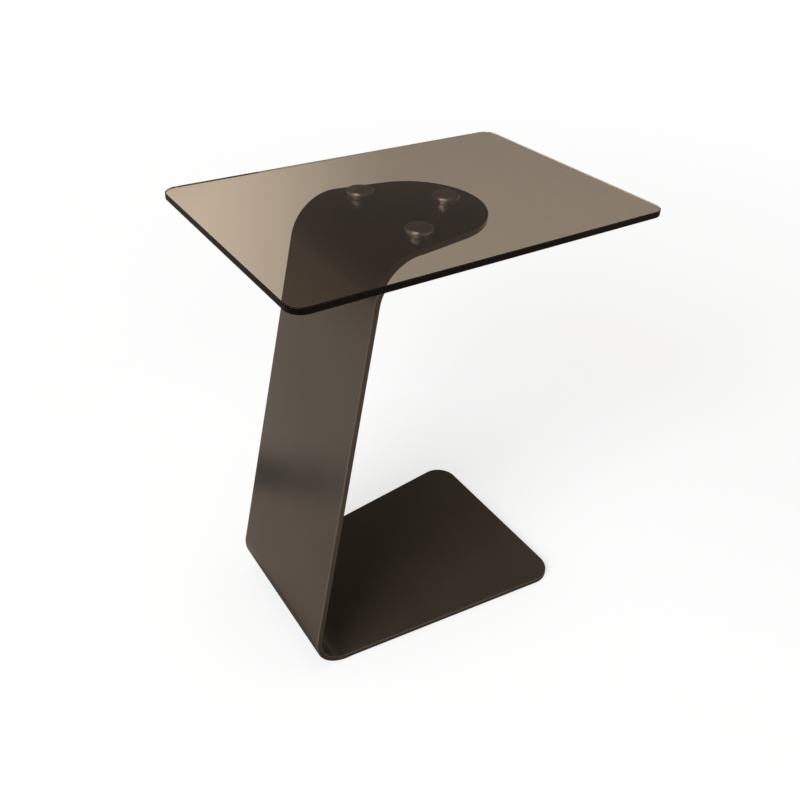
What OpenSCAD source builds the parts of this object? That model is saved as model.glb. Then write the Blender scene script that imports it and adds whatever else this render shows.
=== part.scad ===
// C shaped side table: one bent steel plate carries a tinted glass top on three bonded discs.
// Millimetres. +Z is up, +X is the way the foot and the arm reach, -Y is the front.
// The origin is on the floor, under the middle of the glass.

/* [Table] */
// Height of the upper face of the glass
table_height = 600; // [520:5:680]

/* [Glass top] */
// Length of the glass, along X
top_length = 480; // [440:5:560]
// Depth of the glass, along Y
top_depth = 330; // [310:5:420]
// Thickness of the glass
glass_thickness = 8; // [6:1:12]
// Corner radius of the glass, seen from above
top_corner_r = 18; // [8:1:40]
// Width of the ground arris round both faces of the glass
glass_arris = 0.8; // [0.4:0.1:1.6]

/* [Bent plate] */
// Thickness of the steel plate
plate_thickness = 8; // [6:0.5:10]
// Lean of the column from upright, over the foot
column_lean = 11; // [8:0.5:12]
// Distance from the middle of the table back to the start of the bottom bend
foot_back = 150; // [140:1:170]
// Distance from the middle of the table to the free end of the foot
foot_front = 195; // [170:1:215]
// Width of the foot at its free end
foot_end_width = 304; // [270:1:320]
// Width of the foot at the bottom bend
foot_bend_width = 228; // [200:1:250]
// Corner radius at the free end of the foot, seen from above
foot_corner_r = 32; // [10:1:50]
// Outer radius of the bottom bend
bottom_bend_r = 54; // [40:1:64]
// Outer radius of the top bend
top_bend_r = 60; // [44:1:64]
// Width of the column where the top bend starts
column_top_width = 192; // [176:1:204]
// Distance from the middle of the table to the tip of the arm
arm_tip = 86; // [78:1:110]
// Radius of the round end of the arm, seen from above
arm_end_r = 87; // [78:1:90]

/* [Glass discs] */
// Diameter of a disc
disc_d = 33; // [26:0.5:34]
// Height of a disc
disc_height = 8; // [6:0.5:14]
// Width of the turned arris on both faces of a disc
disc_arris = 0.6; // [0.3:0.1:1.2]
// Metal left above the blind thread in a disc
disc_roof = 1; // [0.8:0.1:1.5]
// Distance from the end of the top bend to the middle of the rear and front discs
pair_from_bend = 18; // [18:0.5:26]
// Distance between the middles of the rear and front discs
pair_spacing = 124; // [90:1:126]
// Distance from the tip of the arm back to the middle of the third disc
end_disc_from_tip = 40; // [26:0.5:46]

/* [Screws and washers] */
// Thread diameter of a screw
screw_d = 6; // [5:0.5:6]
// Diameter of the domed screw head
head_d = 10.5; // [9:0.1:11.5]
// Height of the domed screw head
head_height = 3.3; // [2.8:0.1:4]
// Diameter of the flat on top of the dome
head_flat_d = 5.4; // [5:0.1:6]
// Width across the flats of the hexagon socket
socket_width = 4; // [3:0.5:4]
// Depth of the hexagon socket
socket_depth = 2; // [1.6:0.1:2.4]
// Gap between the tip of a screw and the bottom of its thread
screw_tip_gap = 0.6; // [0.3:0.1:1]
// Outer diameter of a washer
washer_d = 12; // [11.5:0.5:16]
// Thickness of a washer
washer_thickness = 1.6; // [1:0.1:2]
// Extra diameter of the hole in a washer over the thread
washer_play = 0.4; // [0.2:0.1:0.8]
// Extra diameter of the holes in the arm over the thread
arm_hole_play = 1; // [0.6:0.1:2]

/* [Floor pads] */
// Diameter of a floor pad
pad_d = 22; // [16:1:28]
// Thickness of a floor pad
pad_thickness = 2; // [1:0.5:4]
// Width of the bevel round the lower face of a floor pad
pad_bevel = 0.4; // [0.2:0.1:0.8]
// Distance from the bottom bend to the middle of the two back pads
back_pad_from_bend = 24; // [16:1:40]
// Distance from the free end of the foot back to the middle of the two end pads
end_pad_from_end = 34; // [30:1:50]
// Distance from the side edge of the foot in to the middle of a pad
pad_from_side = 26; // [20:1:40]

/* [Hidden] */
$fn = 96;

// Overrun of every cut past the face that it opens
cut = 1;
// Radial gap between a screw thread and the thread in its disc
thread_gap = 0.05;

bronze = [0.20, 0.18, 0.165];
tea_glass = [0.56, 0.49, 0.40, 0.5];
bright_steel = [0.74, 0.74, 0.76];
zinc = [0.62, 0.63, 0.65];
pad_black = [0.07, 0.07, 0.07];

// Levels, from the floor up
foot_z = pad_thickness;
glass_z = table_height - glass_thickness;
disc_z = glass_z - disc_height;
arm_z = disc_z - plate_thickness;
washer_z = arm_z - washer_thickness;

// The plate's side view: centres of the two bends, and where the straight column meets them
bottom_centre = [-foot_back, foot_z + bottom_bend_r];
column_out = [-cos(column_lean), sin(column_lean)];
column_up = [sin(column_lean), cos(column_lean)];
column_foot = bottom_centre + bottom_bend_r * column_out;
top_centre_z = disc_z - top_bend_r;
column_length = (top_centre_z + top_bend_r * column_out[1] - column_foot[1]) / column_up[1];
column_head = column_foot + column_length * column_up;
top_centre = column_head - top_bend_r * column_out;
plate_back = -foot_back - bottom_bend_r - cut;

// The arm starts flat where the top bend ends
arm_start = top_centre[0];
arm_end_x = arm_tip - arm_end_r;

// Where each disc, washer, screw and arm hole stands
rear_xy = [arm_start + pair_from_bend, pair_spacing / 2];
front_xy = [arm_start + pair_from_bend, -pair_spacing / 2];
end_xy = [arm_tip - end_disc_from_tip, 0];
screw_places = [rear_xy, front_xy, end_xy];
screw_length = washer_thickness + plate_thickness + disc_height - disc_roof - screw_tip_gap;

// Half widths of the foot along X, where the pads stand
function foot_half(x) = (foot_bend_width + (foot_end_width - foot_bend_width)
    * (x + foot_back) / (foot_front + foot_back)) / 2;
back_pad_x = -foot_back + back_pad_from_bend;
end_pad_x = foot_front - end_pad_from_end;

// A slab with round corners and a flat arris on every edge, its middle over the origin
module arrised_slab(length, depth, height, corner_r, arris) {
    module side_profile(width) {
        polygon([
            [-width / 2 + arris, 0], [width / 2 - arris, 0], [width / 2, arris],
            [width / 2, height - arris], [width / 2 - arris, height],
            [-width / 2 + arris, height], [-width / 2, height - arris], [-width / 2, arris]
        ]);
    }
    rotate([90, 0, 0])
        translate([0, 0, -(depth / 2 - corner_r)])
            linear_extrude(depth - 2 * corner_r) side_profile(length);
    rotate([90, 0, 90])
        translate([0, 0, -(length / 2 - corner_r)])
            linear_extrude(length - 2 * corner_r) side_profile(depth);
    for (x = [-1, 1], y = [-1, 1])
        translate([x * (length / 2 - corner_r), y * (depth / 2 - corner_r), 0])
            arrised_disc(corner_r, height, arris);
}

// A turned disc with a flat arris on both faces
module arrised_disc(radius, height, arris) {
    rotate_extrude()
        polygon([
            [0, 0], [radius - arris, 0], [radius, arris],
            [radius, height - arris], [radius - arris, height], [0, height]
        ]);
}

// Side view of a bend: a ring of the plate's thickness, from a start angle round to the column
module bend_profile(outer_r, start, turn) {
    rotate(start)
        intersection() {
            difference() {
                circle(outer_r);
                circle(outer_r - plate_thickness);
            }
            // Corners well outside the ring bound the turn
            polygon([
                [0, 0], [2 * outer_r, 0],
                2 * outer_r * [1, tan(turn / 2)],
                2 * outer_r * [cos(turn), sin(turn)]
            ]);
        }
}

// Side view of the plate: foot, bottom bend, leaning column, top bend and arm
module plate_profile() {
    translate([-foot_back, foot_z]) square([foot_back + foot_front + cut, plate_thickness]);
    translate(bottom_centre) bend_profile(bottom_bend_r, 270, -90 - column_lean);
    translate(column_foot) rotate(-column_lean) square([plate_thickness, column_length]);
    translate(top_centre) bend_profile(top_bend_r, 90, 90 - column_lean);
    translate([arm_start, arm_z]) square([arm_tip - arm_start + cut, plate_thickness]);
}

// Outline of the foot from above: it widens to its free end, which has round corners
module foot_outline() {
    flare = atan((foot_end_width - foot_bend_width) / 2 / (foot_front + foot_back));
    corner_y = foot_end_width / 2 - foot_corner_r * (tan(flare) + 1 / cos(flare));
    side = [foot_front - foot_corner_r * (1 + sin(flare)), corner_y + foot_corner_r * cos(flare)];
    polygon([
        [plate_back, -foot_bend_width / 2], [-foot_back, -foot_bend_width / 2],
        [side[0], -side[1]], [foot_front, -corner_y],
        [foot_front, corner_y], side,
        [-foot_back, foot_bend_width / 2], [plate_back, foot_bend_width / 2]
    ]);
    for (y = [-1, 1])
        translate([foot_front - foot_corner_r, y * corner_y]) circle(foot_corner_r);
}

// Outline of the arm from above: its sides run in from the top bend to meet the round end
module arm_outline() {
    reach = arm_end_x - arm_start;
    half = column_top_width / 2;
    run_in = asin(arm_end_r / sqrt(reach * reach + half * half)) - atan(half / reach);
    meet = [arm_end_x - arm_end_r * sin(run_in), arm_end_r * cos(run_in)];
    polygon([
        [plate_back, -half], [arm_start, -half], [meet[0], -meet[1]],
        meet, [arm_start, half], [plate_back, half]
    ]);
    translate([arm_end_x, 0]) circle(arm_end_r);
}

// Outline of the column from the side that it turns to -X: narrower to the top
module column_outline() {
    polygon([
        [-foot_bend_width / 2, 0], [foot_bend_width / 2, 0],
        [foot_bend_width / 2, bottom_centre[1]], [column_top_width / 2, top_centre[1]],
        [column_top_width / 2, table_height], [-column_top_width / 2, table_height],
        [-column_top_width / 2, top_centre[1]], [-foot_bend_width / 2, bottom_centre[1]]
    ]);
}

module bent_plate() {
    reach_y = max(foot_end_width, foot_bend_width) / 2 + cut;
    color(bronze)
        difference() {
            intersection() {
                translate([0, reach_y, 0]) rotate([90, 0, 0])
                    linear_extrude(2 * reach_y) plate_profile();
                union() {
                    linear_extrude(bottom_centre[1]) foot_outline();
                    translate([plate_back, 0, 0]) rotate([90, 0, 90])
                        linear_extrude(arm_start - plate_back) column_outline();
                    translate([0, 0, top_centre[1]])
                        linear_extrude(top_bend_r + cut) arm_outline();
                }
            }
            for (place = screw_places)
                translate([place[0], place[1], arm_z - cut])
                    cylinder(d = screw_d + arm_hole_play, h = plate_thickness + 2 * cut);
        }
}

module glass_top() {
    color(tea_glass)
        translate([0, 0, glass_z])
            arrised_slab(top_length, top_depth, glass_thickness, top_corner_r, glass_arris);
}

// A disc bonded under the glass, with a blind thread from below
module disc(place) {
    color(bright_steel)
        translate([place[0], place[1], disc_z])
            difference() {
                arrised_disc(disc_d / 2, disc_height, disc_arris);
                translate([0, 0, -cut])
                    cylinder(r = screw_d / 2 + thread_gap, h = disc_height - disc_roof + cut);
            }
}

module washer(place) {
    color(zinc)
        translate([place[0], place[1], washer_z])
            difference() {
                cylinder(d = washer_d, h = washer_thickness);
                translate([0, 0, -cut])
                    cylinder(d = screw_d + washer_play, h = washer_thickness + 2 * cut);
            }
}

// A socket screw, driven up through the arm, its domed head hanging below the washer
module screw(place) {
    head_r = head_d / 2;
    flat_r = head_flat_d / 2;
    // The dome's centre lies on the axis, where rim and flat are equally far from it
    centre_h = (head_height * head_height + flat_r * flat_r - head_r * head_r) / (2 * head_height);
    dome_r = sqrt(head_r * head_r + centre_h * centre_h);
    color(zinc)
        translate([place[0], place[1], washer_z]) {
            cylinder(d = screw_d, h = screw_length);
            difference() {
                intersection() {
                    translate([0, 0, -head_height]) cylinder(r = head_r, h = head_height);
                    translate([0, 0, -centre_h]) sphere(dome_r);
                }
                translate([0, 0, -head_height - cut])
                    cylinder(d = socket_width / cos(30), h = socket_depth + cut, $fn = 6);
            }
        }
}

// A stick-on pad under the foot, bevelled round the face that meets the floor
module floor_pad(x, side) {
    color(pad_black)
        translate([x, side * (foot_half(x) - pad_from_side), 0])
            rotate_extrude()
                polygon([
                    [0, 0], [pad_d / 2 - pad_bevel, 0], [pad_d / 2, pad_bevel],
                    [pad_d / 2, pad_thickness], [0, pad_thickness]
                ]);
}

glass_top();
bent_plate();
disc(rear_xy);  // disc_rear
disc(front_xy);  // disc_front
disc(end_xy);  // disc_end
washer(rear_xy);  // washer_rear
washer(front_xy);  // washer_front
washer(end_xy);  // washer_end
screw(rear_xy);  // screw_rear
screw(front_xy);  // screw_front
screw(end_xy);  // screw_end
floor_pad(back_pad_x, 1);  // pad_rear_back
floor_pad(back_pad_x, -1);  // pad_front_back
floor_pad(end_pad_x, 1);  // pad_rear_end
floor_pad(end_pad_x, -1);  // pad_front_end
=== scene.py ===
# C shaped side table: a tinted glass top on one bent and powder coated steel plate.
# Metres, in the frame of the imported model: +Z is up, -Y is the front, the origin is on the floor.
import math

import bmesh
import bpy
from mathutils import Matrix, Vector


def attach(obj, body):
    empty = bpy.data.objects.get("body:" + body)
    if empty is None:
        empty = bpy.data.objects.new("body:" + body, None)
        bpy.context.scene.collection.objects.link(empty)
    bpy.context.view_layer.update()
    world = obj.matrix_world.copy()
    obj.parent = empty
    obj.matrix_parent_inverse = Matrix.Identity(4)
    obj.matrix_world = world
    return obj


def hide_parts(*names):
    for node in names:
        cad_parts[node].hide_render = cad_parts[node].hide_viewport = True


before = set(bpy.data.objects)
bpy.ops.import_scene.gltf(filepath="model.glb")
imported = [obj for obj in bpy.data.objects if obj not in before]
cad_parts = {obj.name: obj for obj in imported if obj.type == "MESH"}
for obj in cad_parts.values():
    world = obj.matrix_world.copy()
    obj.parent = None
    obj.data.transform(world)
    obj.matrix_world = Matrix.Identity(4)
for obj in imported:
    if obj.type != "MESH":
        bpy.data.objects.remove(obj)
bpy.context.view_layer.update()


# Floor pads: four stick-on pads between the steel foot and the floor, punched from black rubber
# sheet with a matt moulded skin. They hold the plate clear of the floor and stop it from sliding.
NOISE_MIDDLE = 0.5
GRAIN_RUN = (0.15, 0.85)


def new_material(name):
    # A material, its node tree and its one shader
    material = bpy.data.materials.new(name)
    material.use_nodes = True
    return material, material.node_tree, material.node_tree.nodes["Principled BSDF"]


def finish_node(material, node):
    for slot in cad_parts[node].material_slots:
        slot.material = material


def feed(tree, socket, value):
    # Links the socket to another node's output, or sets it to a plain value
    if isinstance(value, bpy.types.NodeSocket):
        tree.links.new(value, socket)
    else:
        socket.default_value = value


def add_math(tree, operation, first, second, clamp=False):
    node = tree.nodes.new("ShaderNodeMath")
    node.operation, node.use_clamp = operation, clamp
    feed(tree, node.inputs[0], first)
    feed(tree, node.inputs[1], second)
    return node.outputs[0]


def add_range(tree, value, span, result, soft=False):
    # As the value runs over its span, the output runs over the result and stays at its ends
    node = tree.nodes.new("ShaderNodeMapRange")
    node.interpolation_type = "SMOOTHSTEP" if soft else "LINEAR"
    node.inputs["From Min"].default_value, node.inputs["From Max"].default_value = span
    node.inputs["To Min"].default_value, node.inputs["To Max"].default_value = result
    feed(tree, node.inputs["Value"], value)
    return node.outputs["Result"]


def add_ramp(tree, value, stops):
    # A colour for each value, from the lowest stop to the highest
    node = tree.nodes.new("ShaderNodeValToRGB")
    elements = node.color_ramp.elements
    for element, (position, colour) in zip(elements, (stops[0], stops[-1])):
        element.position, element.color = position, (*colour, 1)
    for position, colour in stops[1:-1]:
        elements.new(position).color = (*colour, 1)
    feed(tree, node.inputs["Fac"], value)
    return node.outputs["Color"]


def add_bump(tree, shader, height, strength, depth):
    node = tree.nodes.new("ShaderNodeBump")
    node.inputs["Strength"].default_value = strength
    node.inputs["Distance"].default_value = depth
    feed(tree, node.inputs["Height"], height)
    feed(tree, shader.inputs["Normal"], node.outputs["Normal"])


def skin_grain_group():
    # Height and tone of a fine, even grain: rubber skin, powder coat and plated steel share it
    group = bpy.data.node_groups.new("skin_grain", "ShaderNodeTree")
    for name in ("Grains per metre", "Clouds per metre"):
        group.interface.new_socket(name, in_out="INPUT", socket_type="NodeSocketFloat")
    for name in ("Height", "Tone"):
        group.interface.new_socket(name, in_out="OUTPUT", socket_type="NodeSocketFloat")
    entry, leave = group.nodes.new("NodeGroupInput"), group.nodes.new("NodeGroupOutput")
    place = group.nodes.new("ShaderNodeTexCoord")
    fine, broad = group.nodes.new("ShaderNodeTexNoise"), group.nodes.new("ShaderNodeTexNoise")
    fine.inputs["Detail"].default_value = 3
    fine.inputs["Roughness"].default_value = 0.55
    broad.inputs["Detail"].default_value = 2
    for texture, scale in ((fine, "Grains per metre"), (broad, "Clouds per metre")):
        feed(group, texture.inputs["Vector"], place.outputs["Object"])
        feed(group, texture.inputs["Scale"], entry.outputs[scale])
    feed(group, leave.inputs["Height"], fine.outputs["Fac"])
    # The tone is the broad clouds with the fine grains on them, about the same middle
    both = add_math(group, "ADD", fine.outputs["Fac"], broad.outputs["Fac"])
    feed(group, leave.inputs["Tone"], add_math(group, "SUBTRACT", both, NOISE_MIDDLE))
    return group


SKIN_GRAIN = skin_grain_group()


def add_grain(tree, shader, grains, clouds, strength, depth, colours, shines):
    # Places the shared grain: bump from its height, colour and roughness from its tone
    grain = tree.nodes.new("ShaderNodeGroup")
    grain.node_tree = SKIN_GRAIN
    grain.inputs["Grains per metre"].default_value = grains
    grain.inputs["Clouds per metre"].default_value = clouds
    add_bump(tree, shader, grain.outputs["Height"], strength, depth)
    tone = grain.outputs["Tone"]
    tint = add_ramp(tree, tone, tuple(zip(GRAIN_RUN, colours)))
    feed(tree, shader.inputs["Base Color"], tint)
    feed(tree, shader.inputs["Roughness"], add_range(tree, tone, GRAIN_RUN, shines))


PAD_RUBBER, pad_tree, pad_shader = new_material("pad_rubber")
pad_shader.inputs["Specular IOR Level"].default_value = 0.35
add_grain(pad_tree, pad_shader, grains=1400, clouds=90, strength=0.5, depth=0.0002,
          colours=((0.012, 0.012, 0.012), (0.02, 0.02, 0.019)), shines=(0.7, 0.85))
for pad in ("pad_rear_back", "pad_front_back", "pad_rear_end", "pad_front_end"):
    finish_node(PAD_RUBBER, pad)


# Bent plate: one steel plate is foot, bottom bend, leaning column, top bend and arm. It is cut to
# its flat outline with rounded arrises, bent twice in a press and powder coated dark bronze.
PLATE = 0.008
ARRIS = 0.0014
LEAN = math.radians(11)
FOOT_FRONT, FOOT_BACK = 0.195, -0.150
FOOT_CORNER = 0.032
FOOT_END_HALF, FOOT_BEND_HALF, COLUMN_TOP_HALF = 0.152, 0.114, 0.096
FOOT_MID_Z, ARM_MID_Z = 0.006, 0.580
BOTTOM_BEND_R, TOP_BEND_R = 0.054, 0.060
BOTTOM_BEND_Z = FOOT_MID_Z - PLATE / 2 + BOTTOM_BEND_R
TOP_BEND_Z = ARM_MID_Z + PLATE / 2 - TOP_BEND_R
# The column's outer face runs straight from one bend to the other, and the arm starts where the
# upper one ends
ARM_START = FOOT_BACK + ((TOP_BEND_Z - BOTTOM_BEND_Z) * math.sin(LEAN)
                         + TOP_BEND_R - BOTTOM_BEND_R) / math.cos(LEAN)
ARM_TIP, ARM_END_R = 0.086, 0.087
PAIR_X, PAIR_HALF = ARM_START + 0.018, 0.062
END_SCREW_X = ARM_TIP - 0.040
SCREW_PLACES = ((PAIR_X, PAIR_HALF), (PAIR_X, -PAIR_HALF), (END_SCREW_X, 0))
HOLE_R, DRILL_LENGTH = 0.0035, 0.02
ARRIS_STEPS, FOOT_CORNER_STEPS, BOTTOM_STEPS, TOP_STEPS, ARM_END_STEPS = 5, 14, 30, 24, 40
HOLE_SIDES = 64


def plate_outline():
    # One side of the plate from the foot's free end to the tip of the arm. Each entry is a point
    # of the middle surface (x, z), the outer face's direction there, the half width (None where
    # it follows the height), and the outline's outward direction along the run and across it.
    run = []
    flare = math.atan((FOOT_END_HALF - FOOT_BEND_HALF) / (FOOT_FRONT - FOOT_BACK))
    corner_x = FOOT_FRONT - FOOT_CORNER
    corner_y = FOOT_END_HALF - FOOT_CORNER * (math.tan(flare) + 1 / math.cos(flare))
    down, up, straight_out = (0.0, -1.0), (0.0, 1.0), (0.0, 1.0)
    for i in range(FOOT_CORNER_STEPS + 1):
        turn = (math.pi / 2 + flare) * i / FOOT_CORNER_STEPS
        run.append(((corner_x + FOOT_CORNER * math.cos(turn), FOOT_MID_Z), down,
                    corner_y + FOOT_CORNER * math.sin(turn), (-math.cos(turn), math.sin(turn))))
    downward, leaning, upward = 1.5 * math.pi, math.pi - LEAN, 0.5 * math.pi
    for x, z, outer_r, start, stop, steps in (
            (FOOT_BACK, BOTTOM_BEND_Z, BOTTOM_BEND_R, downward, leaning, BOTTOM_STEPS),
            (ARM_START, TOP_BEND_Z, TOP_BEND_R, leaning, upward, TOP_STEPS)):
        middle = outer_r - PLATE / 2
        for i in range(steps + 1):
            turn = start + (stop - start) * i / steps
            out = (math.cos(turn), math.sin(turn))
            run.append(((x + middle * out[0], z + middle * out[1]), out, None, straight_out))
    # The arm's sides run in a little before they meet its round end
    round_x = ARM_TIP - ARM_END_R
    reach = round_x - ARM_START
    run_in = (math.asin(ARM_END_R / math.hypot(reach, COLUMN_TOP_HALF))
              - math.atan(COLUMN_TOP_HALF / reach))
    first = math.pi / 2 + run_in
    for i in range(ARM_END_STEPS):
        # The last point is half a step short of the tip, which lies between the two sides
        turn = first * (1 - i / (ARM_END_STEPS - 0.5))
        run.append(((round_x + ARM_END_R * math.cos(turn), ARM_MID_Z), up,
                    ARM_END_R * math.sin(turn), (math.cos(turn), math.sin(turn))))
    return run


def column_half(z):
    # The plate narrows upward between the middles of its two bends
    share = min(max((z - BOTTOM_BEND_Z) / (TOP_BEND_Z - BOTTOM_BEND_Z), 0), 1)
    return FOOT_BEND_HALF + (COLUMN_TOP_HALF - FOOT_BEND_HALF) * share


def finish_mesh(mesh, name):
    bmesh.ops.recalc_face_normals(mesh, faces=mesh.faces)
    data = bpy.data.meshes.new(name)
    mesh.to_mesh(data)
    mesh.free()
    return data


def build_plate():
    # Rings round the plate's edge, from one face to the other: each is set in from the outline
    # and lifted from the middle surface towards the outer face
    rings = []
    for side, turns in ((-1, range(-ARRIS_STEPS, 1)), (1, range(0, ARRIS_STEPS + 1))):
        for i in turns:
            turn = math.pi / 2 * i / ARRIS_STEPS
            rings.append((ARRIS * (1 - math.cos(turn)),
                          side * (PLATE / 2 - ARRIS) + ARRIS * math.sin(turn)))
    mesh = bmesh.new()
    run = plate_outline()
    loops = []
    for inset, lift in rings:
        left, right = [], []
        for (x, z), (out_x, out_z), half, (along, across) in run:
            # The run's own direction is the outer direction turned a quarter
            shift = -inset * along
            px = x + out_z * shift + out_x * lift
            pz = z - out_x * shift + out_z * lift
            y = (column_half(pz) if half is None else half) - inset * across
            right.append(mesh.verts.new((px, -y, pz)))
            left.append(mesh.verts.new((px, y, pz)))
        loops.append((right, left))
    # The flat of the edge is coated like the faces, and only the arrises have their own coat,
    # painted lighter as a highlight
    for level, ((right_a, left_a), (right_b, left_b)) in enumerate(zip(loops, loops[1:])):
        loop_a, loop_b = right_a + left_a[::-1], right_b + left_b[::-1]
        for i in range(len(loop_a)):
            k = (i + 1) % len(loop_a)
            wall = mesh.faces.new((loop_a[i], loop_a[k], loop_b[k], loop_b[i]))
            wall.material_index = 0 if level == ARRIS_STEPS else 1
    for right, left in (loops[0], loops[-1]):
        for i in range(len(right) - 1):
            mesh.faces.new((right[i], right[i + 1], left[i + 1], left[i]))
    return finish_mesh(mesh, "bent_steel_plate")


def new_object(name, data):
    thing = bpy.data.objects.new(name, data)
    bpy.context.scene.collection.objects.link(thing)
    return thing


def new_piece(name, data):
    data.polygons.foreach_set("use_smooth", [True] * len(data.polygons))
    return new_object(name, data)


def drill(piece, places, radius, z):
    # Cuts round holes up through the piece, and keeps the cut mesh as its own
    mesh = bmesh.new()
    for x, y in places:
        bmesh.ops.create_cone(mesh, cap_ends=True, segments=HOLE_SIDES, radius1=radius,
                              radius2=radius, depth=DRILL_LENGTH,
                              matrix=Matrix.Translation((x, y, z)))
    cutter = new_object("drill", finish_mesh(mesh, "drill"))
    cut = piece.modifiers.new("holes", "BOOLEAN")
    cut.operation, cut.solver, cut.object = "DIFFERENCE", "EXACT", cutter
    bpy.context.view_layer.update()
    piece.data = bpy.data.meshes.new_from_object(
        piece.evaluated_get(bpy.context.evaluated_depsgraph_get()))
    piece.modifiers.clear()
    bpy.data.objects.remove(cutter)


def even_shading(piece):
    # Broad flat faces keep one shade right up to their rounded arrises
    weighted = piece.modifiers.new("even_shading", "WEIGHTED_NORMAL")
    weighted.mode, weighted.weight = "FACE_AREA", 50


plate = new_piece("bent_steel_plate", build_plate())
drill(plate, SCREW_PLACES, HOLE_R, ARM_MID_Z)
even_shading(plate)

# The arrises have their own coat, painted lighter than the faces as a painted highlight, and a
# little glossier
POWDER_COAT, coat_tree, coat_shader = new_material("powder_coat_bronze")
ARRIS_PAINTED_HIGHLIGHT, arris_tree, arris_shader = new_material("powder_coat_arris_painted_highlight")
for shader in (coat_shader, arris_shader):
    shader.inputs["Specular IOR Level"].default_value = 0.22
    shader.inputs["Specular Tint"].default_value = (1.0, 0.72, 0.50, 1)
add_grain(coat_tree, coat_shader, grains=950, clouds=7, strength=0.45, depth=0.00012,
          colours=((0.044, 0.0345, 0.0265), (0.060, 0.0470, 0.0360)), shines=(0.16, 0.22))
add_grain(arris_tree, arris_shader, grains=950, clouds=40, strength=0.3, depth=0.00012,
          colours=((0.075, 0.060, 0.047), (0.105, 0.085, 0.068)), shines=(0.2, 0.26))
plate.data.materials.append(POWDER_COAT)
plate.data.materials.append(ARRIS_PAINTED_HIGHLIGHT)
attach(plate, "root")
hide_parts("bent_plate")


# Screws and washers: three button head socket screws with washers, zinc plated steel. They come up
# through the arm into the blind threads of the discs, and only their heads show, from below.
ZINC, zinc_tree, zinc_shader = new_material("zinc_plated_steel")
zinc_shader.inputs["Metallic"].default_value = 1
add_grain(zinc_tree, zinc_shader, grains=2600, clouds=120, strength=0.2, depth=0.0001,
          colours=((0.50, 0.51, 0.52), (0.60, 0.61, 0.62)), shines=(0.28, 0.4))
for place in ("rear", "front", "end"):
    finish_node(ZINC, "washer_" + place)
    finish_node(ZINC, "screw_" + place)


# Glass discs: three turned aluminium discs carry the glass. Each has a blind thread from below, a
# broken lower edge and a round upper one, and its top is bonded to the glass with a clear film.
DISC_R, DISC_LOW, DISC_HIGH = 0.0165, 0.584, 0.5919
DISC_ARRIS, DISC_ROUND = 0.0006, 0.003
THREAD_R, THREAD_DEPTH = 0.00305, 0.007
DISC_ARRIS_STEPS, DISC_ROUND_STEPS, DISC_SIDES = 4, 12, 96
WELD_GAP = 1e-6
LATHE_MARKS_SCALE = 420


def build_disc():
    # Outline of half the disc from the end of its thread down and round to the top, spun about
    # the disc's own axis
    height = DISC_HIGH - DISC_LOW
    profile = [(0, THREAD_DEPTH), (THREAD_R, THREAD_DEPTH), (THREAD_R, 0)]
    for i in range(DISC_ARRIS_STEPS + 1):
        turn = math.pi / 2 * i / DISC_ARRIS_STEPS
        profile.append((DISC_R - DISC_ARRIS * (1 - math.sin(turn)),
                        DISC_ARRIS * (1 - math.cos(turn))))
    for i in range(DISC_ROUND_STEPS + 1):
        turn = math.pi / 2 * i / DISC_ROUND_STEPS
        profile.append((DISC_R - DISC_ROUND * (1 - math.cos(turn)),
                        height - DISC_ROUND * (1 - math.sin(turn))))
    profile.append((0, height))
    mesh = bmesh.new()
    verts = [mesh.verts.new((r, 0, z)) for r, z in profile]
    edges = [mesh.edges.new(pair) for pair in zip(verts, verts[1:])]
    bmesh.ops.spin(mesh, geom=verts + edges, cent=(0, 0, 0), axis=(0, 0, 1),
                   angle=2 * math.pi, steps=DISC_SIDES)
    bmesh.ops.remove_doubles(mesh, verts=mesh.verts, dist=WELD_GAP)
    return finish_mesh(mesh, "glass_disc")


TURNED, turned_tree, turned_shader = new_material("turned_aluminium")
turned_shader.inputs["Metallic"].default_value = 1
turned_shader.inputs["Base Color"].default_value = (0.74, 0.82, 0.95, 1)
lathe_marks = turned_tree.nodes.new("ShaderNodeTexWave")
lathe_marks.wave_type, lathe_marks.rings_direction = "RINGS", "Z"
lathe_marks.inputs["Scale"].default_value = LATHE_MARKS_SCALE
lathe_marks.inputs["Distortion"].default_value = 0.6
lathe_marks.inputs["Detail"].default_value = 2
feed(turned_tree, lathe_marks.inputs["Vector"],
     turned_tree.nodes.new("ShaderNodeTexCoord").outputs["Object"])
add_bump(turned_tree, turned_shader, lathe_marks.outputs["Fac"], strength=0.6, depth=0.0001)
feed(turned_tree, turned_shader.inputs["Roughness"],
     add_range(turned_tree, lathe_marks.outputs["Fac"], (0, 1), (0.28, 0.38)))

for place, (x, y) in zip(("rear", "front", "end"), SCREW_PLACES):
    disc = new_piece("turned_disc_" + place, build_disc())
    disc.location = (x, y, DISC_LOW)
    disc.data.materials.append(TURNED)
    even_shading(disc)
    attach(disc, "root")
    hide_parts("disc_" + place)


# Glass top: one sheet of tea tinted float glass, 8 mm, with rounded corners and a polished edge
# between ground arrises. The tint is in the glass itself, so the edge reads near black.
GLASS_LENGTH, GLASS_DEPTH, GLASS_LOW, GLASS_HIGH = 0.480, 0.330, 0.592, 0.600
GLASS_CORNER, GLASS_ARRIS = 0.018, 0.0008
GLASS_CORNER_STEPS = 16
SHARP_FROM = math.radians(30)
# An arris slopes: its normal points up or down by more than a wall's and by less than a flat's
WALL_LIMIT, FLAT_LIMIT = 0.3, 0.9


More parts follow.
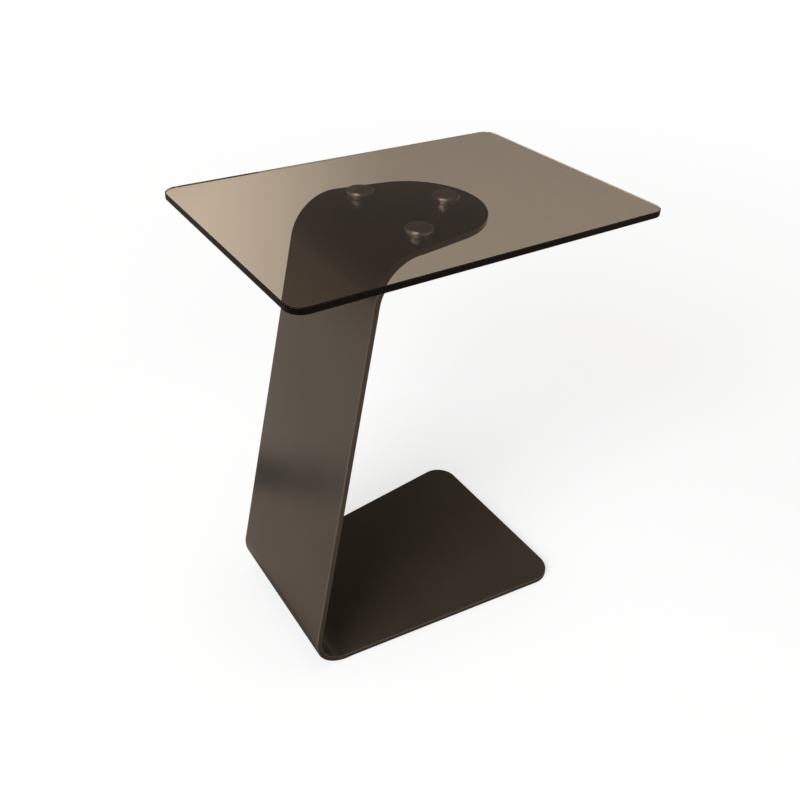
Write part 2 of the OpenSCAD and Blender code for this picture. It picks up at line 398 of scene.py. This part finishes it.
def build_glass():
    # Rings from the lower face up to the upper one, with an arris on both
    corners = ((1, 1, 0), (-1, 1, 90), (-1, -1, 180), (1, -1, 270))
    rings = ((GLASS_ARRIS, GLASS_LOW), (0, GLASS_LOW + GLASS_ARRIS),
             (0, GLASS_HIGH - GLASS_ARRIS), (GLASS_ARRIS, GLASS_HIGH))
    mesh = bmesh.new()
    loops = []
    for inset, z in rings:
        loop = []
        reach = GLASS_CORNER - inset
        for side_x, side_y, start in corners:
            x = side_x * (GLASS_LENGTH / 2 - GLASS_CORNER)
            y = side_y * (GLASS_DEPTH / 2 - GLASS_CORNER)
            for i in range(GLASS_CORNER_STEPS + 1):
                turn = math.radians(start + 90 * i / GLASS_CORNER_STEPS)
                loop.append(mesh.verts.new((x + reach * math.cos(turn),
                                            y + reach * math.sin(turn), z)))
        loops.append(loop)
    for loop_a, loop_b in zip(loops, loops[1:]):
        for i in range(len(loop_a)):
            k = (i + 1) % len(loop_a)
            mesh.faces.new((loop_a[i], loop_a[k], loop_b[k], loop_b[i]))
    mesh.faces.new(loops[0])
    mesh.faces.new(loops[-1])
    data = finish_mesh(mesh, "tinted_glass_sheet")
    # The arrises are ground and not polished: their faces carry a mark that the finish reads
    ground = data.attributes.new("ground", "FLOAT", "FACE")
    ground.data.foreach_set("value", [float(WALL_LIMIT < abs(face.normal.z) < FLAT_LIMIT)
                                      for face in data.polygons])
    return data


sheet = new_piece("tinted_glass_sheet", build_glass())
sheet.data.set_sharp_from_angle(angle=SHARP_FROM)
TEA_GLASS, glass_tree, glass_shader = new_material("tea_glass")
glass_shader.inputs["Base Color"].default_value = (1, 1, 1, 1)
glass_shader.inputs["Transmission Weight"].default_value = 1
glass_shader.inputs["IOR"].default_value = 1.52
glass_shader.inputs["Specular IOR Level"].default_value = 0.35
# Light that has been through the tint warms what the polished edge gives back
glass_shader.inputs["Specular Tint"].default_value = (1.0, 0.78, 0.64, 1)
ground_mark = glass_tree.nodes.new("ShaderNodeAttribute")
ground_mark.attribute_name = "ground"
feed(glass_tree, glass_shader.inputs["Roughness"],
     add_range(glass_tree, ground_mark.outputs["Fac"], (0, 1), (0.0, 0.4)))
tint_in_glass = glass_tree.nodes.new("ShaderNodeVolumeAbsorption")
tint_in_glass.inputs["Color"].default_value = (0.456, 0.254, 0.0, 1)
tint_in_glass.inputs["Density"].default_value = 114
# The lamps' light goes straight through, and only the tint takes its share of it
clear_for_lamps = glass_tree.nodes.new("ShaderNodeBsdfTransparent")
ray_kind = glass_tree.nodes.new("ShaderNodeLightPath")
lamp_mix = glass_tree.nodes.new("ShaderNodeMixShader")
glass_out = glass_tree.nodes["Material Output"]
for socket, value in ((lamp_mix.inputs["Fac"], ray_kind.outputs["Is Shadow Ray"]),
                      (lamp_mix.inputs[1], glass_shader.outputs["BSDF"]),
                      (lamp_mix.inputs[2], clear_for_lamps.outputs["BSDF"]),
                      (glass_out.inputs["Surface"], lamp_mix.outputs["Shader"]),
                      (glass_out.inputs["Volume"], tint_in_glass.outputs["Volume"])):
    feed(glass_tree, socket, value)
sheet.data.materials.append(TEA_GLASS)
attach(sheet, "root")
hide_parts("glass_top")


# Studio floor: a plain pale floor. The lamps light its paint, and where it is seen, directly or
# through the glass, a glow makes up for their fall-off.
FLOOR_HALF = 14.0
PAINT, GLOW = (0.5, 0.5, 0.5, 1), (0.98, 0.99, 1.0, 1)
GLOW_FROM_TO, GLOW_LEVELS = (0.8, 5.0), (0.66, 0.92)


def measure(tree, way, axis=None):
    # A place's distance from the middle, or how far a place or a direction goes along an axis
    node = tree.nodes.new("ShaderNodeVectorMath")
    node.operation = "LENGTH" if axis is None else "DOT_PRODUCT"
    feed(tree, node.inputs[0], way)
    if axis is not None:
        node.inputs[1].default_value = axis
    return node.outputs["Value"]


def add_mix(tree, share, first, second, blend="MIX"):
    node = tree.nodes.new("ShaderNodeMixRGB")
    node.blend_type = blend
    feed(tree, node.inputs["Fac"], share)
    feed(tree, node.inputs["Color1"], first)
    feed(tree, node.inputs["Color2"], second)
    return node.outputs["Color"]


floor_mesh = bmesh.new()
bmesh.ops.create_grid(floor_mesh, x_segments=1, y_segments=1, size=FLOOR_HALF)
floor = new_object("studio_floor", finish_mesh(floor_mesh, "studio_floor"))
FLOOR, floor_tree, floor_shader = new_material("studio_floor")
floor_tree.nodes.remove(floor_shader)
floor_ray = floor_tree.nodes.new("ShaderNodeLightPath").outputs
floor_place = floor_tree.nodes.new("ShaderNodeTexCoord").outputs["Object"]
floor_reach = measure(floor_tree, floor_place)

floor_paint = floor_tree.nodes.new("ShaderNodeBsdfDiffuse")
floor_paint.inputs["Color"].default_value = PAINT
floor_even = add_range(floor_tree, floor_reach, GLOW_FROM_TO, GLOW_LEVELS)
floor_seen = add_math(floor_tree, "MAXIMUM", floor_ray["Is Camera Ray"],
                      floor_ray["Is Transmission Ray"])
floor_level = add_math(floor_tree, "MULTIPLY", floor_seen, floor_even)
# Seen through the glass it has painted light on the key lamp's side and painted shade on the far
# side, standing in for the lamps' fall-off
AWAY_FROM_KEY, AWAY_FROM_TO, PAINTED_FALLOFF = (0.836, -0.548, 0), (-0.70, 0.04), (-0.34, 0.39)
floor_painted_falloff = add_range(floor_tree, measure(floor_tree, floor_place, AWAY_FROM_KEY),
                       AWAY_FROM_TO, PAINTED_FALLOFF, soft=True)
floor_through = add_math(floor_tree, "MULTIPLY", floor_painted_falloff, floor_ray["Is Transmission Ray"])
floor_fall = add_math(floor_tree, "SUBTRACT", floor_level, floor_through, clamp=True)
floor_glow = floor_tree.nodes.new("ShaderNodeEmission")
floor_glow.inputs["Color"].default_value = GLOW
floor_sum = floor_tree.nodes.new("ShaderNodeAddShader")

# Mirrored in the coat and the metal it is a painted reflection: painted shade under the plate and
# bright further off. A soft painted dark band crosses it at the column's back, which the column
# mirrors low down.
FLOOR_SPAN = 4.0
RINGS = ((0.235, (0.10, 0.085, 0.07)), (0.285, (0.62, 0.50, 0.42)), (0.47, (0.62, 0.50, 0.42)),
         (0.60, (0.82, 0.74, 0.66)), (1.5, (0.82, 0.74, 0.66)), (3.2, (0.35, 0.33, 0.31)))
MIRRORED_DARK_BAND = ((0.41, (1, 1, 1)), (0.455, (0.0, 0.07, 0.18)),
         (0.52, (0.0, 0.07, 0.18)), (0.585, (1, 1, 1)))
ACROSS_DARK_BAND, DARK_BAND_END_X = (-0.375, 0.927, 0), (-0.66, -0.48)
floor_rings = add_ramp(floor_tree, add_math(floor_tree, "DIVIDE", floor_reach, FLOOR_SPAN),
                       [(reach / FLOOR_SPAN, colour) for reach, colour in RINGS])
floor_dark_band = add_ramp(floor_tree, measure(floor_tree, floor_place, ACROSS_DARK_BAND), MIRRORED_DARK_BAND)
floor_end = add_range(floor_tree, measure(floor_tree, floor_place, (1, 0, 0)),
                      DARK_BAND_END_X, (0, 1))
floor_mirrored_shades = add_mix(floor_tree, floor_end, floor_rings, floor_dark_band, "MULTIPLY")
# The glass mirrors it sharply, and there it stays low, so that the polished edge reads dark
SHARP_FLOOR = 0.2
floor_sharp = add_range(floor_tree, floor_ray["Is Singular Ray"], (0, 1), (1, SHARP_FLOOR))
floor_mirrored = floor_tree.nodes.new("ShaderNodeEmission")
floor_bounced = add_math(floor_tree, "MULTIPLY", floor_ray["Is Glossy Ray"],
                         floor_ray["Is Reflection Ray"])
floor_mix = floor_tree.nodes.new("ShaderNodeMixShader")
floor_out = floor_tree.nodes["Material Output"]
for socket, value in ((floor_glow.inputs["Strength"], floor_fall),
                      (floor_sum.inputs[0], floor_paint.outputs["BSDF"]),
                      (floor_sum.inputs[1], floor_glow.outputs["Emission"]),
                      (floor_mirrored.inputs["Color"], floor_mirrored_shades),
                      (floor_mirrored.inputs["Strength"], floor_sharp),
                      (floor_mix.inputs["Fac"], floor_bounced),
                      (floor_mix.inputs[1], floor_sum.outputs["Shader"]),
                      (floor_mix.inputs[2], floor_mirrored.outputs["Emission"]),
                      (floor_out.inputs["Surface"], floor_mix.outputs["Shader"])):
    feed(floor_tree, socket, value)
floor.data.materials.append(FLOOR)


# Studio room and lamps: the room lights the table from a white band round the horizon and a dim
# ceiling. The coat and the glass mirror it darker, with one large soft glow where the key lamp
# stands, and the camera sees plain white, directly and through the glass.
BAND_TOP, CEILING_FROM = 0.21, 0.30
WHITE, CEILING = (1, 1, 1), (0.20, 0.18, 0.16)
MIRRORED_HORIZON, MIRRORED_CEILING = (0.32, 0.29, 0.26), (0.15, 0.147, 0.143)
KEY_PLACE, KEY_EDGE, KEY_BRIGHT = Vector((-4.4, -1.8, 2.9)), (0.86, 0.99), 3.0
room = bpy.data.worlds.new("studio")
bpy.context.scene.world = room
room.use_nodes = True
room_tree = room.node_tree
room_ray = room_tree.nodes.new("ShaderNodeLightPath").outputs
room_way = room_tree.nodes.new("ShaderNodeTexCoord").outputs["Generated"]
room_height = measure(room_tree, room_way, (0, 0, 1))
room_fade = add_ramp(room_tree, room_height, ((BAND_TOP, WHITE), (CEILING_FROM, CEILING)))
room_mirrored = add_ramp(room_tree, room_height,
                         ((0.0, MIRRORED_HORIZON), (CEILING_FROM, MIRRORED_CEILING)))
key_glow = add_range(room_tree, measure(room_tree, room_way, KEY_PLACE.normalized()),
                     KEY_EDGE, (0.0, KEY_BRIGHT), soft=True)
# The sheet's own faces mirror the glow faintly. For the steel and the discs below it is painted
# stronger, a painted highlight that makes up for their light passing the sheet's two faces twice,
# where the tint takes most of it.
OWN_FACES, BELOW_FACES = 3, (2, 4)
FAINT_GLOW, STRONG_GLOW = 0.08, 4
room_own = add_math(room_tree, "LESS_THAN", room_ray["Transmission Depth"], OWN_FACES)
room_sharp = add_math(room_tree, "MULTIPLY", room_ray["Is Singular Ray"], room_own)
key_faint = add_range(room_tree, room_sharp, (0, 1), (1, FAINT_GLOW))
key_level = add_math(room_tree, "MULTIPLY", key_glow, key_faint)
room_under = add_range(room_tree, room_ray["Transmission Depth"], BELOW_FACES, (1, STRONG_GLOW))
key_under = add_math(room_tree, "MULTIPLY", key_level, room_under)
room_glow = room_tree.nodes.new("ShaderNodeVectorMath")
room_glow.operation = "ADD"
feed(room_tree, room_glow.inputs[0], room_mirrored)
feed(room_tree, room_glow.inputs[1], key_under)
room_bounced = add_math(room_tree, "SUBTRACT", room_ray["Glossy Depth"],
                        room_ray["Diffuse Depth"], clamp=True)
room_bounces = add_math(room_tree, "ADD", room_ray["Diffuse Depth"], room_ray["Glossy Depth"])
room_seen = add_math(room_tree, "SUBTRACT", room_ray["Is Transmission Ray"], room_bounces,
                     clamp=True)
room_plain = add_math(room_tree, "MAXIMUM", room_ray["Is Camera Ray"], room_seen)
room_lit = add_mix(room_tree, room_bounced, room_fade, room_glow.outputs["Vector"])
feed(room_tree, room_tree.nodes["Background"].inputs["Color"],
     add_mix(room_tree, room_plain, room_lit, (*WHITE, 1)))


def soft_lamp(name, place, aim, size, watts):
    lamp = bpy.data.lights.new(name, "AREA")
    lamp.shape, lamp.size, lamp.energy = "SQUARE", size, watts
    holder = new_object(name, lamp)
    holder.location = place
    holder.visible_glossy = False
    holder.visible_transmission = False
    holder.rotation_euler = (Vector(aim) - Vector(place)).to_track_quat("-Z", "Y").to_euler()


soft_lamp("soft_key", place=KEY_PLACE, aim=(0, 0, 0.3), size=3.2, watts=230)
soft_lamp("soft_top", place=(0.6, -0.4, 5.0), aim=(0, 0, 0.3), size=3.2, watts=35)


# Camera: a plain 36 mm lens on 36 mm film, at the photograph's place and viewing angle, which were
# worked out from the table's outlines.
CAMERA_PLACE = Vector((-0.5059, -0.7210, 0.9442))
CAMERA_FORWARD = Vector((0.46266, 0.67012, -0.58042)).normalized()
CAMERA_RIGHT = Vector((0.83570, -0.54817, 0.03326)).normalized()
camera_up = CAMERA_RIGHT.cross(CAMERA_FORWARD)
camera = new_object("camera", bpy.data.cameras.new("camera"))
camera.data.lens, camera.data.sensor_width = 36, 36
turned_axes = Matrix((CAMERA_RIGHT, camera_up, -CAMERA_FORWARD)).transposed()
camera.matrix_world = Matrix.Translation(CAMERA_PLACE) @ turned_axes.to_4x4()
bpy.context.scene.camera = camera
bpy.context.scene.view_settings.view_transform = "Standard"
